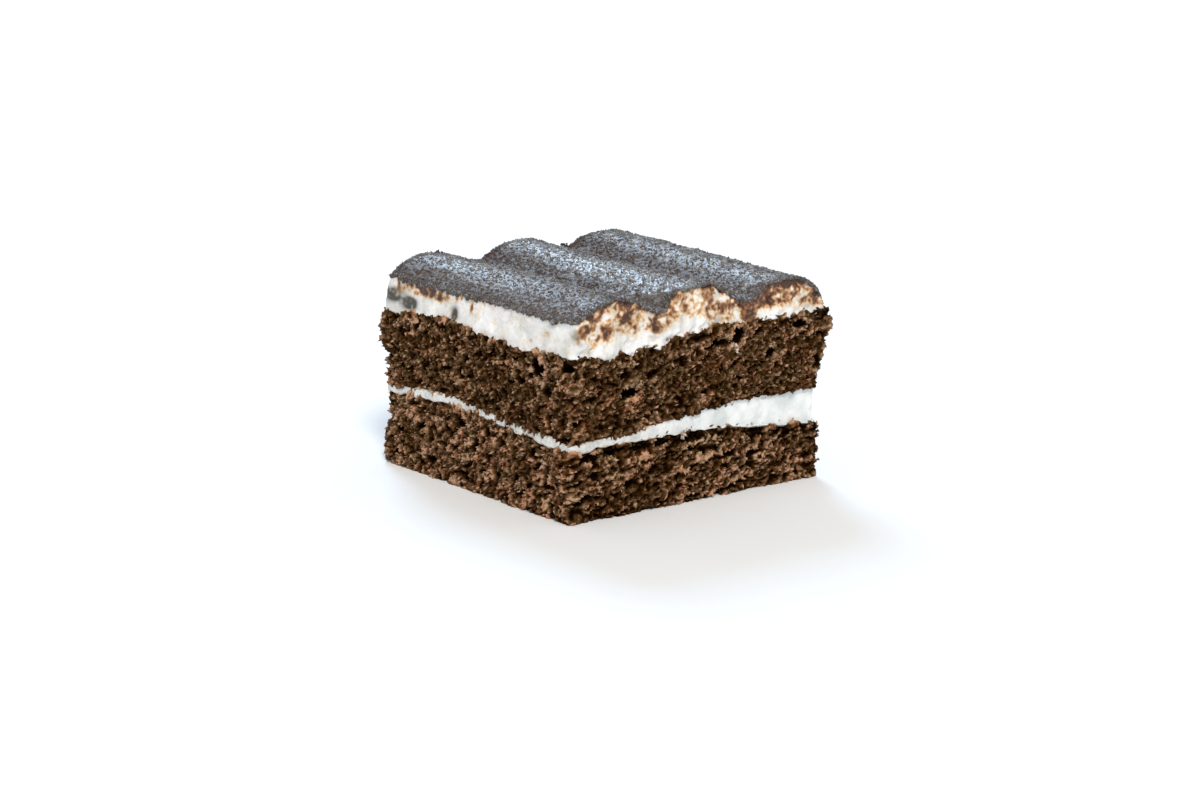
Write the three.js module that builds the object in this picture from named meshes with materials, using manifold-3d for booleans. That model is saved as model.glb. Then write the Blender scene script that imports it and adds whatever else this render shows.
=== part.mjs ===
// A square-cut piece of tiramisu cake that rests on its underside: a lower chocolate sponge, a wedge
// of cream, an upper sponge, three ropes of piped cream side by side, and a dusting of cocoa on them.
// Units are millimetres. X runs across the ropes, Y along them and Z up, with the origin under the
// middle of the piece. The knife cut the front (-Y), the back and the left side (-X), and on the
// right-hand side (+X) the last rope rounds down to the sponge.
import * as THREE from "three";
import { ImprovedNoise } from "three/addons/math/ImprovedNoise.js";
import { mergeVertices } from "three/addons/utils/BufferGeometryUtils.js";
import Module from "manifold-3d";

// Size of the piece.
const WIDTH = 80;
const DEPTH = 70;
const HEIGHT = 52;
const CORNER_RADIUS = 2;

// Heights where one layer meets the next, at the left-hand and right-hand sides.
const LOWER_SPONGE_TOP = { left: 17.4, right: 13.9, from: -5, to: 40 };
const FILLING_TOP = { left: 19.3, right: 22.9, from: -32, to: 18 };
const UPPER_SPONGE_TOP = { left: 38.2, right: 42, from: -22, to: 6 };
const UPPER_SPONGE_SWELL = { rise: 1.9, y: 13, reach: 16 };
const SEAM = 0.3;

// Piped ropes: their spacing, the depth of the furrows between them, how far they drift sideways
// from front to back, and how far the last one rounds down at the right-hand side.
const ROPE_PITCH = 28.6;
const ROPE_RISE = 5.2;
const ROPE_ROUNDNESS = 1.2;
const ROPE_DRIFT = 3.2;
const MIDDLE_ROPE_X = 1;
const FLANK_START = 32;
const FLANK_DROP = 3.4;
const FLANK_CURVE = 3;
const COCOA_THICKNESS = 0.8;

// Sides: the upper sponge spreads towards its top, the filling lies back, the crumb is craggy.
const SPONGE_SPREAD = 1.4;
const SPREAD_CURVE = 1.5;
const FILLING_RECESS = 0.9;
const CRUMB_RELIEF = 1.2;
const CRUMB_SIZE = 4.6;
const CREAM_RELIEF = 0.35;
const CREAM_LUMP_SIZE = 6;
const FINE_LUMP_SHARE = 0.6;

// Steps of the mesh across, along and up the layers, and the ring inside each hidden face.
const STEPS_X = 32;
const STEPS_Y = 20;
const SPONGE_ROWS = 7;
const CREAM_ROWS = 3;
const FILLING_ROWS = 2;
const INNER_RING = 0.9;
const MERGE_DISTANCE = 1e-4;

// Holes in the crumb: small ones spread all round each sponge, and the large ones in the upper one.
const PORES_PER_SPONGE = 9;
const PORE_RADIUS = { smallest: 1.1, largest: 1.9 };
const PORE_HEIGHTS = { lowest: 0.25, highest: 0.72 };
const PORE_STRETCH = { along: 1.3, up: 0.9 };
const PORE_SEED = 7;
const LARGE_PORES = [
  { x: -40.8, y: -23.3, z: 35, radius: 2.2 },
  { x: -40.6, y: -33, z: 36, radius: 1.5 },
  { x: 10.2, y: -36, z: 38.8, radius: 2.3 },
  { x: -23.3, y: -35.4, z: 29.3, radius: 1.6 },
];

const wasm = await Module();
wasm.setup();

const { clamp, lerp, smoothstep, seededRandom } = THREE.MathUtils;
const noiseField = new ImprovedNoise();

// Height of a seam that climbs or falls smoothly from its left value to its right value.
function slope(seam, x) {
  return lerp(seam.left, seam.right, smoothstep(x, seam.from, seam.to));
}

function underside() {
  return 0;
}

function lowerSpongeTop(x) {
  return slope(LOWER_SPONGE_TOP, x);
}

function fillingTop(x) {
  return slope(FILLING_TOP, x);
}

// The upper sponge is thinner on the left, where a low swell runs up behind its middle.
function upperSpongeTop(x, y) {
  const { rise, y: swellY, reach } = UPPER_SPONGE_SWELL;
  const leftShare = 1 - smoothstep(x, UPPER_SPONGE_TOP.from, UPPER_SPONGE_TOP.to);
  const swell = rise * Math.exp(-(((y - swellY) / reach) ** 2));
  return slope(UPPER_SPONGE_TOP, x) + swell * leftShare;
}

// Rounded humps one pitch apart with narrow furrows between them, falling away at the right side.
function cocoaTop(x, y) {
  const turns = (x - MIDDLE_ROPE_X - (ROPE_DRIFT * y) / DEPTH) / ROPE_PITCH;
  const hump = Math.abs(Math.cos(Math.PI * turns)) ** ROPE_ROUNDNESS;
  const flank = clamp((x - FLANK_START) / (WIDTH / 2 - FLANK_START), 0, 1) ** FLANK_CURVE;
  return HEIGHT - ROPE_RISE * (1 - hump) - FLANK_DROP * flank;
}

function cocoaUnderside(x, y) {
  return cocoaTop(x, y) - COCOA_THICKNESS;
}

// A surface moved up or down, to leave a seam's gap where two layers meet.
function shifted(surface, offset) {
  return (x, y) => surface(x, y) + offset;
}

// Two layers of smooth noise, one at the given grain size and a weaker one at half of it.
function lumps(x, y, z, grain) {
  const half = grain / 2;
  const coarse = noiseField.noise(x / grain, y / grain, z / grain);
  const fine = noiseField.noise(x / half, y / half, z / half);
  return coarse + FINE_LUMP_SHARE * fine;
}

function crumbRelief(x, y, z) {
  return CRUMB_RELIEF * lumps(x, y, z, CRUMB_SIZE);
}

function creamRelief(x, y, z) {
  return CREAM_RELIEF * lumps(x, y, z, CREAM_LUMP_SIZE);
}

// Plan position of a grid point on the rounded rectangle that all the layers share.
function planPoint(i, j) {
  const x = WIDTH * (i / STEPS_X - 0.5);
  const y = DEPTH * (j / STEPS_Y - 0.5);
  const beyondX = Math.abs(x) - (WIDTH / 2 - CORNER_RADIUS);
  const beyondY = Math.abs(y) - (DEPTH / 2 - CORNER_RADIUS);
  if (beyondX <= 0 || beyondY <= 0) return new THREE.Vector2(x, y);
  const pull = 1 - Math.max(beyondX, beyondY) / Math.hypot(beyondX, beyondY);
  return new THREE.Vector2(x - Math.sign(x) * beyondX * pull, y - Math.sign(y) * beyondY * pull);
}

// Grid points round the edge of the plan, counter-clockwise from the front left corner.
const RIM = [];
for (let i = 0; i < STEPS_X; i++) RIM.push([i, 0]);
for (let j = 0; j < STEPS_Y; j++) RIM.push([STEPS_X, j]);
for (let i = STEPS_X; i > 0; i--) RIM.push([i, STEPS_Y]);
for (let j = STEPS_Y; j > 0; j--) RIM.push([0, j]);

// Direction out of the plan at a rim point: square to a side, diagonal at a corner.
function outward(i, j) {
  const across = (i === STEPS_X) - (i === 0);
  const along = (j === STEPS_Y) - (j === 0);
  return new THREE.Vector2(across, along).normalize();
}

// A closed layer between two surfaces. Its wall has the given rows, each moved out from the plan by
// spread(share of the height) and by relief(x, y, z). A lid is a grid of the plan where its shape
// shows, and a ring with a centre where it is hidden.
function layerGeometry({ bottom, top, rows, spread, relief, bottomLid, topLid }) {
  const positions = [];
  const triangles = [];

  function addPoint(x, y, z) {
    positions.push(x, y, z);
    return positions.length / 3 - 1;
  }

  function addBand(lower, upper) {
    lower.forEach((point, k) => {
      const next = (k + 1) % lower.length;
      triangles.push(point, lower[next], upper[next], point, upper[next], upper[k]);
    });
  }

  function addTriangle(facesUp, a, b, c) {
    triangles.push(a, ...(facesUp ? [b, c] : [c, b]));
  }

  function addRingLid(surface, rim, facesUp) {
    const ring = RIM.map(([i, j]) => {
      const { x, y } = planPoint(i, j).multiplyScalar(INNER_RING);
      return addPoint(x, y, surface(x, y));
    });
    const middle = addPoint(0, 0, surface(0, 0));
    if (facesUp) addBand(rim, ring);
    else addBand(ring, rim);
    ring.forEach((point, k) => addTriangle(facesUp, middle, point, ring[(k + 1) % ring.length]));
  }

  function addGridLid(surface, rim, facesUp) {
    const rimPoint = new Map(RIM.map(([i, j], k) => [`${i},${j}`, rim[k]]));
    const grid = [];
    for (let i = 0; i <= STEPS_X; i++) {
      grid.push([]);
      for (let j = 0; j <= STEPS_Y; j++) {
        const { x, y } = planPoint(i, j);
        grid[i].push(rimPoint.get(`${i},${j}`) ?? addPoint(x, y, surface(x, y)));
      }
    }
    for (let i = 0; i < STEPS_X; i++) {
      for (let j = 0; j < STEPS_Y; j++) {
        addTriangle(facesUp, grid[i][j], grid[i + 1][j], grid[i + 1][j + 1]);
        addTriangle(facesUp, grid[i][j], grid[i + 1][j + 1], grid[i][j + 1]);
      }
    }
  }

  function wallRow(row) {
    const share = row / rows;
    return RIM.map(([i, j]) => {
      const plan = planPoint(i, j);
      const z = lerp(bottom(plan.x, plan.y), top(plan.x, plan.y), share);
      const offset = spread(share) + relief(plan.x, plan.y, z);
      const { x, y } = plan.addScaledVector(outward(i, j), offset);
      return addPoint(x, y, lerp(bottom(x, y), top(x, y), share));
    });
  }

  const wall = Array.from({ length: rows + 1 }, (_, row) => wallRow(row));
  wall.slice(1).forEach((row, k) => addBand(wall[k], row));
  const lids = { ring: addRingLid, grid: addGridLid };
  lids[bottomLid](bottom, wall[0], false);
  lids[topLid](top, wall[rows], true);

  const geometry = new THREE.BufferGeometry();
  geometry.setAttribute("position", new THREE.Float32BufferAttribute(positions, 3));
  geometry.setIndex(triangles);
  return geometry;
}

function solidFrom(geometry) {
  const bare = geometry.clone();
  bare.deleteAttribute("normal");
  bare.deleteAttribute("uv");
  const merged = mergeVertices(bare, MERGE_DISTANCE);
  return new wasm.Manifold(
    new wasm.Mesh({
      numProp: 3,
      vertProperties: new Float32Array(merged.attributes.position.array),
      triVerts: new Uint32Array(merged.index.array),
    }),
  );
}

function geometryFrom(solid) {
  const { vertProperties, triVerts } = solid.getMesh();
  const geometry = new THREE.BufferGeometry();
  geometry.setAttribute("position", new THREE.BufferAttribute(vertProperties, 3));
  geometry.setIndex(new THREE.BufferAttribute(triVerts, 1));
  return geometry;
}

// A bubble in the crumb, as an egg that is long along the side it opens on.
function poreSolid({ x, y, z, radius }) {
  const onSide = Math.abs(x) / WIDTH > Math.abs(y) / DEPTH;
  const { along, up } = PORE_STRETCH;
  const egg = new THREE.IcosahedronGeometry(radius, 1);
  egg.scale(onSide ? 1 : along, onSide ? along : 1, up);
  egg.translate(x, y, z);
  return solidFrom(egg);
}

// Small pores, one at a random place on each equal stretch of a sponge's side, clear of its edges.
function scatteredPores(bottom, top) {
  const { lowest, highest } = PORE_HEIGHTS;
  return Array.from({ length: PORES_PER_SPONGE }, (_, k) => {
    const [i, j] = RIM[Math.floor(((k + seededRandom()) / PORES_PER_SPONGE) * RIM.length)];
    const { x, y } = planPoint(i, j);
    const z = lerp(bottom(x, y), top(x, y), lerp(lowest, highest, seededRandom()));
    const radius = lerp(PORE_RADIUS.smallest, PORE_RADIUS.largest, seededRandom());
    return { x, y, z, radius };
  });
}

function porous(geometry, pores) {
  const whole = solidFrom(geometry);
  return geometryFrom(pores.map(poreSolid).reduce((solid, pore) => solid.subtract(pore), whole));
}

function mesh(name, geometry, material) {
  geometry.computeVertexNormals();
  const piece = new THREE.Mesh(geometry, new THREE.MeshStandardMaterial(material));
  piece.name = name;
  return piece;
}

const upright = () => 0;
const smooth = () => 0;
const SPONGE_MATERIAL = { color: "#523c2b", roughness: 0.95, metalness: 0 };

function lowerSponge() {
  const layer = { bottom: underside, top: shifted(lowerSpongeTop, -SEAM / 2), rows: SPONGE_ROWS };
  const surface = { spread: upright, relief: crumbRelief, bottomLid: "ring", topLid: "ring" };
  const pores = scatteredPores(layer.bottom, layer.top);
  return mesh("lower_sponge", porous(layerGeometry({ ...layer, ...surface }), pores), SPONGE_MATERIAL);
}

function creamFilling() {
  const geometry = layerGeometry({
    bottom: shifted(lowerSpongeTop, SEAM / 2),
    top: shifted(fillingTop, -SEAM / 2),
    rows: FILLING_ROWS,
    spread: () => -FILLING_RECESS,
    relief: creamRelief,
    bottomLid: "ring",
    topLid: "ring",
  });
  return mesh("cream_filling", geometry, { color: "#e2e5e0", roughness: 0.55, metalness: 0 });
}

function upperSponge() {
  const layer = {
    bottom: shifted(fillingTop, SEAM / 2),
    top: shifted(upperSpongeTop, -SEAM / 2),
    rows: SPONGE_ROWS,
  };
  const surface = {
    spread: (share) => SPONGE_SPREAD * share ** SPREAD_CURVE,
    relief: crumbRelief,
    bottomLid: "ring",
    topLid: "ring",
  };
  const pores = [...LARGE_PORES, ...scatteredPores(layer.bottom, layer.top)];
  return mesh("upper_sponge", porous(layerGeometry({ ...layer, ...surface }), pores), SPONGE_MATERIAL);
}

function creamTopping() {
  const geometry = layerGeometry({
    bottom: shifted(upperSpongeTop, SEAM / 2),
    top: shifted(cocoaUnderside, -SEAM),
    rows: CREAM_ROWS,
    spread: upright,
    relief: creamRelief,
    bottomLid: "ring",
    topLid: "grid",
  });
  return mesh("cream_topping", geometry, { color: "#dfdad0", roughness: 0.6, metalness: 0 });
}

function cocoaDusting() {
  const geometry = layerGeometry({
    bottom: cocoaUnderside,
    top: cocoaTop,
    rows: 1,
    spread: upright,
    relief: smooth,
    bottomLid: "grid",
    topLid: "grid",
  });
  return mesh("cocoa_dusting", geometry, { color: "#5d5148", roughness: 0.8, metalness: 0 });
}

// The piece, moved so that the origin lies under the middle of its uneven outline.
seededRandom(PORE_SEED);
const cake = new THREE.Group();
cake.add(lowerSponge(), creamFilling(), upperSponge(), creamTopping(), cocoaDusting());
const outline = new THREE.Box3().setFromObject(cake);
const middle = outline.getCenter(new THREE.Vector3());
cake.position.set(-middle.x, -middle.y, -outline.min.z);

export default cake;
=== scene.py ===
import bpy
import numpy as np
from mathutils import Matrix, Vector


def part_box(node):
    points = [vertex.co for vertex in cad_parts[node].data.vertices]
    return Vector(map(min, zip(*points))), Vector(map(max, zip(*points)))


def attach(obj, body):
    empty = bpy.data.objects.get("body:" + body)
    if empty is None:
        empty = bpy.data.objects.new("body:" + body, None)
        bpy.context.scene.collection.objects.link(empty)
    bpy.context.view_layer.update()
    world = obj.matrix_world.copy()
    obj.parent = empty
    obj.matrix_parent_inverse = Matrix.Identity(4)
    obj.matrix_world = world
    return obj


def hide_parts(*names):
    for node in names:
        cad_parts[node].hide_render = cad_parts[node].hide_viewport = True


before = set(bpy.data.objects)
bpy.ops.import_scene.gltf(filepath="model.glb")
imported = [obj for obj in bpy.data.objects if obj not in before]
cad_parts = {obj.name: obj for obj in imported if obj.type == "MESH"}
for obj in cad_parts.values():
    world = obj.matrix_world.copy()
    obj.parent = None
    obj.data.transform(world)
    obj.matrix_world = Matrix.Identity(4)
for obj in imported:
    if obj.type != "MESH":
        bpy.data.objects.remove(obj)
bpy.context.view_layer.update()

# Lower sponge
# A slab of soft chocolate sponge that carries the rest of the cake. The knife tore its open crumb
# into lumps, pits and pores on all four sides, and its underside is flat.
MM = 0.001
plan_low, plan_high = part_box("cocoa_dusting")
PLAN_MIDDLE = np.array([plan_low.x + plan_high.x, plan_low.y + plan_high.y]) / (2 * MM)
HALF_WIDTH = (plan_high.x - plan_low.x) / (2 * MM)
HALF_DEPTH = (plan_high.y - plan_low.y) / (2 * MM)
QUARTER_POINTS = 9
SPONGE_STEP = 0.27
SPONGE_CORNER = 0.9
SPONGE_RIM_INSETS = np.array([0.3, 0.6, 1.0, 1.5, 2.2, 3.2, 5.0, 10.0, 20.0, 34.0])
LOWER_SPONGE_TOP = dict(left=17.4, right=13.9, start=-5, end=40)
LOWER_SPONGE_ROWS = 64
LOWER_SPONGE_HEIGHT = 15
LOWER_RAGGED_EDGE = [(0.35, 4.5, 160), (0.3, 1.7, 163)]
LOWER_CRUMB = dict(seed=100, rough=1.15, bubble=2.4, drag=2.4)
LOWER_CRUMB_COUNT = 11000
# Painted shade on the crumb at the top of the near corner
LOWER_SHADES = [((-40.5, -36, 15.6), (3.5, 3.5, 1.8), -0.7)]
RIBBON_BENDS = [
    dict(rise=2.1, middle=9, reach=22, start=-40, end=-22),
    dict(rise=-1.0, middle=-38, reach=10, start=-41, end=-29),
]
UNDERCUT_DEPTH = 1.8
UNDERCUT_BELOW = 0.9
UNDERCUT_REACH = 1.4
RELIEF_REACH = 4
SLOW_WAVE = 0.7
SLOW_WAVE_SIZE = 9
PORE_SPACING = 6.0
PORE_DEPTH = 4.0
PORE_STRETCH = 1.6
PORE_GROWTH = 2.3
LEAST_PORE_VALUE = 0.45
WARP = 0.7
WARP_SIZE = 2.6
WALL_RELIEF = 1.25
LUMP_RELIEF = 0.5
PIT_DEPTH = 1.4
FLAKE_RELIEF = 0.4
GRIT_RELIEF = 0.22
GRIT_SIZE = 0.8
PATCH_SIZE = 3.8
SHADE_SIZE = 3.4
MOST_RED = 0.8
SHADE_PASSES = 60
STROKE_SLANT = np.radians(20)
SIDE_FINENESS = 1.13
SIDE_LEAN = 0.47
CRUMB_GRAIN = 1.0
LEAST_CRUMB = 0.15
CRUMB_GROWTH = 0.28
CRUMB_SHAPE = [2.2, 1.0, 0.7]


def smooth_step(low, high, value):
    """Rises from 0 at low to 1 at high along the cubic that is level at both ends."""
    share = np.clip((value - low) / (high - low), 0, 1)
    return share * share * (3 - 2 * share)


def seam(x, left, right, start, end):
    """A height over the plan that goes from left to right along a smooth step between two x places."""
    return left + (right - left) * smooth_step(start, end, x)


def hashed(cell, seed):
    """A repeatable value from 0 to 1 per whole-number cell: its coordinates mixed as 32-bit numbers."""
    x, y, z = np.moveaxis(cell.astype(np.int64).astype(np.uint32), -1, 0)
    mix = x * np.uint32(374761393) + y * np.uint32(668265263) + z * np.uint32(2246822519)
    mix = (mix + np.uint32(seed * 3266489917 % 2**32)) ^ (mix >> np.uint32(15))
    mix = mix * np.uint32(2654435761)
    mix = (mix ^ (mix >> np.uint32(13))) * np.uint32(1274126177)
    return (mix ^ (mix >> np.uint32(16))) / 2.0**32


def soft_noise(p, size, seed):
    """Gradient noise, about -1 to 1: random slopes on a lattice of the given size, blended smoothly."""
    q = p / size
    cell = np.floor(q)
    t = q - cell
    ease = t**3 * (t * (6 * t - 15) + 10)
    total = 0
    for corner in np.ndindex(2, 2, 2):
        weight = np.prod(np.where(corner, ease, 1 - ease), axis=-1)
        slope = np.stack([hashed(cell + corner, seed + axis) for axis in range(3)], -1) * 2 - 1
        total = total + weight * np.sum(slope * (t - corner), axis=-1)
    return 1.6 * total


def waves(p, layers):
    """A sum of gradient noises, each with its height, its size in millimetres and its seed."""
    return sum(height * soft_noise(p, size, seed) for height, size, seed in layers)


def ridges(p, size, seed):
    """Thin sharp crests between broad hollows, 0 to 1: where gradient noise passes through zero."""
    return (1 - np.minimum(np.abs(soft_noise(p, size, seed)) * 1.5, 1)) ** 2


def clumps(p, size, seed):
    """Cells round one random point per cube: the distance to the nearest point, and its owner's value."""
    q = p / size
    cell = np.floor(q)
    nearest = np.full(p.shape[:-1], 9.0)
    owner = np.zeros(p.shape[:-1])
    for step in np.ndindex(3, 3, 3):
        near = cell + step - 1
        point = near + np.stack([hashed(near, seed + axis) for axis in range(3)], -1)
        gap = np.linalg.norm(point - q, axis=-1)
        owner = np.where(gap < nearest, hashed(near, seed + 3), owner)
        nearest = np.minimum(nearest, gap)
    return nearest * size, owner


def bells(p, spots):
    """A sum of bell-shaped spots: each has a centre, its reach along each axis, and a height."""
    total = 0
    for centre, reach, rise in spots:
        total = total + rise * np.exp(-np.sum(((p - centre) / np.array(reach)) ** 2, axis=-1))
    return total


def edge_loop(step, corner):
    """Rounded rectangle round the plan: four quarter circles, joined and resampled at even steps.

    Each point comes with the direction that leads out of the plan there.
    """
    turn = np.linspace(0, np.pi / 2, QUARTER_POINTS)
    angle = np.concatenate([turn + side * np.pi / 2 for side in range(4)])
    side_x = np.repeat([1, -1, -1, 1], QUARTER_POINTS) * (HALF_WIDTH - corner)
    side_y = np.repeat([1, 1, -1, -1], QUARTER_POINTS) * (HALF_DEPTH - corner)
    x = side_x + corner * np.cos(angle)
    y = side_y + corner * np.sin(angle)
    x, y, angle = np.append(x, x[0]), np.append(y, y[0]), np.append(angle, 2 * np.pi)
    length = np.append(0, np.cumsum(np.hypot(np.diff(x), np.diff(y))))
    at = np.arange(0, length[-1] - step / 2, step)
    angle = np.interp(at, length, angle)
    points = np.stack([np.interp(at, length, x), np.interp(at, length, y)], -1)
    return points, np.stack([np.cos(angle), np.sin(angle)], -1)


def layer_rows(loop, bottom, top, low_insets, wall_rows, high_insets, spread):
    """Rows of points round a layer, from the middle of its underside out, up its side and in over its top.

    A row is the loop scaled down by its inset, as a share of the half depth, and moved out by
    spread(share of the height). Its height runs from the bottom surface to the top one by that share.
    """
    points, outward = loop
    inset = np.concatenate([low_insets[::-1], np.zeros(wall_rows), high_insets])
    wall_share = np.linspace(0, 1, wall_rows)
    share = np.concatenate([np.zeros(len(low_insets)), wall_share, np.ones(len(high_insets))])
    drawn = points * (1 - inset / HALF_DEPTH)[:, None, None]
    plan = drawn + outward * spread(share)[:, None, None]
    x, y = plan[..., 0], plan[..., 1]
    z = bottom(x, y) + share[:, None] * (top(x, y) - bottom(x, y))
    return np.stack([x, y, z], -1), inset[:, None], share[:, None]


def upright(share):
    """No spread at any share of the height."""
    return 0 * share


def row_normals(p):
    """Unit normals of rows that close on themselves: differences along a row crossed with those across."""
    along = np.roll(p, -1, axis=1) - np.roll(p, 1, axis=1)
    normal = np.cross(along, np.gradient(p, axis=0))
    return normal / np.maximum(np.linalg.norm(normal, axis=-1, keepdims=True), 1e-9)


def pushed(p, distance):
    """Rows of points moved along their normals."""
    return p + row_normals(p) * distance[..., None]


def softened(height, passes):
    """Each value averaged with its four neighbours, over and over."""
    for _ in range(passes):
        above = np.concatenate([height[:1], height[:-1]])
        below = np.concatenate([height[1:], height[-1:]])
        beside = np.roll(height, 1, axis=1) + np.roll(height, -1, axis=1)
        height = (height + above + below + beside) / 5
    return height


def mesh_piece(name, points, faces, values, material):
    """An object at the origin from points in millimetres, with each set of values as a float attribute."""
    mesh = bpy.data.meshes.new(name)
    placed = (points + [*PLAN_MIDDLE, 0]) * MM
    mesh.from_pydata(placed.tolist(), [], faces)
    for key, numbers in values.items():
        mesh.attributes.new(key, "FLOAT", "POINT").data.foreach_set("value", numbers.astype(np.float32))
    mesh.shade_smooth()
    mesh.materials.append(material)
    piece = bpy.data.objects.new(name, mesh)
    bpy.context.scene.collection.objects.link(piece)
    return piece


def skin_piece(name, p, values, material):
    """A closed skin: quads between neighbouring rows, and a fan to the middle of the first and last row."""
    rows, count = p.shape[:2]
    number = np.arange(rows * count).reshape(rows, count)
    lower, upper = number[:-1], number[1:]
    quads = np.stack([lower, np.roll(lower, -1, 1), np.roll(upper, -1, 1), upper], -1)
    first, last = number[0], number[-1]
    under, over = np.full(count, rows * count), np.full(count, rows * count + 1)
    fans = [np.stack([under, np.roll(first, -1), first], -1), np.stack([over, last, np.roll(last, -1)], -1)]
    faces = quads.reshape(-1, 4).tolist() + np.concatenate(fans).tolist()
    points = np.concatenate([p.reshape(-1, 3), p[[0, -1]].mean(axis=1)])
    ends = {key: v[[0, -1]].mean(axis=1) for key, v in values.items()}
    values = {key: np.append(v.ravel(), ends[key]) for key, v in values.items()}
    return mesh_piece(name, points, faces, values, material)


def grain_piece(name, middle, long_way, radius, shape, values, material, draw):
    """Scattered grains: uneven octahedra, each stretched along its own long way and kept above the base."""
    count = len(middle)
    first = long_way / np.linalg.norm(long_way, axis=1, keepdims=True)
    second = np.cross(first, draw.normal(size=(count, 3)))
    second = second / np.linalg.norm(second, axis=1, keepdims=True)
    axes = np.stack([first, second, np.cross(first, second)], -1)
    corners = np.concatenate([np.eye(3), -np.eye(3)])
    uneven = corners * draw.uniform(0.6, 1.4, (count, 6, 1)) * shape * radius[:, None, None]
    points = middle[:, None] + np.einsum("nij,nkj->nki", axes, uneven)
    points[..., 2] = np.maximum(points[..., 2], 0)
    sides = [(0, 1, 2), (1, 3, 2), (3, 4, 2), (4, 0, 2), (1, 0, 5), (3, 1, 5), (4, 3, 5), (0, 4, 5)]
    faces = (np.array(sides) + 6 * np.arange(count)[:, None, None]).reshape(-1, 3)
    values = {key: np.repeat(numbers, 6) for key, numbers in values.items()}
    return mesh_piece(name, points.reshape(-1, 3), faces.tolist(), values, material)


def linear(hex_colour):
    """An sRGB hex colour as linear RGBA, each channel through the sRGB curve."""
    srgb = np.array([int(hex_colour[k:k + 2], 16) for k in (1, 3, 5)]) / 255
    channels = np.where(srgb <= 0.04045, srgb / 12.92, ((srgb + 0.055) / 1.055) ** 2.4)
    return (*channels.tolist(), 1.0)


def add_node(material, kind, settings={}, links={}, stops=()):
    """Adds a shader node, sets its properties and sockets, links its inputs and fills its colour stops."""
    tree = material.node_tree
    node = tree.nodes.new(kind)
    for key, value in settings.items():
        if isinstance(key, str) and hasattr(node, key):
            setattr(node, key, value)
        else:
            node.inputs[key].default_value = value
    for key, output in links.items():
        tree.links.new(output, node.inputs[key])
    for k, (place, hex_colour) in enumerate(stops):
        ramp = node.color_ramp.elements
        stop = ramp[k] if k < len(ramp) else ramp.new(place)
        stop.position, stop.color = place, linear(hex_colour)
    return node


def new_material(name):
    """An empty node material and the socket that its surface goes into."""
    material = bpy.data.materials.new(name)
    material.use_nodes = True
    material.node_tree.nodes.clear()
    output = add_node(material, "ShaderNodeOutputMaterial")
    return material, output.inputs["Surface"]


def chocolate_sponge():
    """Baked chocolate sponge: near-black in its pits, tan on torn ridges, redder or greyer by the patch.

    The attribute of painted shade and tone, broken up by a fine grain, goes through the crumb's colours,
    so that its painted shade makes the pits near-black and the ridges tan, and "tint" gives the hue that
    they are multiplied by. Open crumb scatters light and has next to no gloss.
    """
    material, surface = new_material("chocolate_sponge")
    painted_shade_and_tone = add_node(material, "ShaderNodeAttribute", {"attribute_name": "painted_shade_and_tone"})
    tint = add_node(material, "ShaderNodeAttribute", {"attribute_name": "tint"})
    place = add_node(material, "ShaderNodeTexCoord").outputs["Object"]
    grain = add_node(material, "ShaderNodeTexNoise",
                     {"Scale": 1 / (CRUMB_GRAIN * MM), "Detail": 1.0}, {"Vector": place})
    depth = add_node(material, "ShaderNodeMapRange", {"From Min": -0.78, "From Max": 1.22},
                     {"Value": painted_shade_and_tone.outputs["Fac"]})
    lift = add_node(material, "ShaderNodeMath", {"operation": "MULTIPLY_ADD", 1: 0.85},
                    {0: grain.outputs["Fac"], 2: depth.outputs["Result"]})
    level = add_node(material, "ShaderNodeMath", {"operation": "SUBTRACT", 1: 0.42},
                     {0: lift.outputs["Value"]})
    crumb = add_node(material, "ShaderNodeValToRGB", {}, {"Fac": level.outputs["Value"]},
                     [(0.08, "#110500"), (0.27, "#2c1802"), (0.5, "#4d371f"), (0.74, "#82654d"),
                      (0.95, "#c7a58b")])
    hue = add_node(material, "ShaderNodeValToRGB", {}, {"Fac": tint.outputs["Fac"]},
                   [(0.0, "#eaecdd"), (0.45, "#f7eee6"), (0.8, "#fde6d6"), (1.0, "#ffdac2")])
    mixed = add_node(material, "ShaderNodeMix", {"data_type": "RGBA", "blend_type": "MULTIPLY", 0: 1.0},
                     {6: crumb.outputs["Color"], 7: hue.outputs["Color"]})
    bump = add_node(material, "ShaderNodeBump", {"Strength": 0.5, "Distance": 0.2 * MM},
                    {"Height": grain.outputs["Fac"]})
    shader = add_node(material, "ShaderNodeBsdfPrincipled", {"Roughness": 0.9, "Specular IOR Level": 0.03},
                      {"Base Color": mixed.outputs[2], "Normal": bump.outputs["Normal"]})
    material.node_tree.links.new(shader.outputs["BSDF"], surface)
    return material


def stroke_places(p, drag):
    """Places squeezed along the knife's stroke, so that noise read at them comes out as streaks.

    On the front and back the squeeze is the drag, along a gentle slant. On the sides the streaks are
    shorter and lean more steeply, because there the height also counts towards the depth.
    """
    x, y, z = np.moveaxis(p, -1, 0)
    along = (x * np.cos(STROKE_SLANT) + z * np.sin(STROKE_SLANT)) / drag
    across = z * np.cos(STROKE_SLANT) - x * np.sin(STROKE_SLANT)
    return np.stack([along, across, SIDE_FINENESS * y + SIDE_LEAN * z], -1)


def pore_hollow(p, pores, seed):
    """How deep the pores are: a ball in every cube whose value is high enough, and the given eggs."""
    gap, owner = clumps(p, PORE_SPACING, seed)
    radius = np.maximum(PORE_GROWTH * (owner - LEAST_PORE_VALUE), 1e-3)
    hollow = np.sqrt(np.clip(1 - (gap / radius) ** 2, 0, 1)) * radius * PORE_STRETCH
    for centre, size in pores:
        gap = np.linalg.norm((p - centre) / np.array(size), axis=-1)
        hollow = np.maximum(hollow, np.sqrt(np.clip(1 - gap**2, 0, 1)) * PORE_DEPTH)
    return hollow


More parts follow.
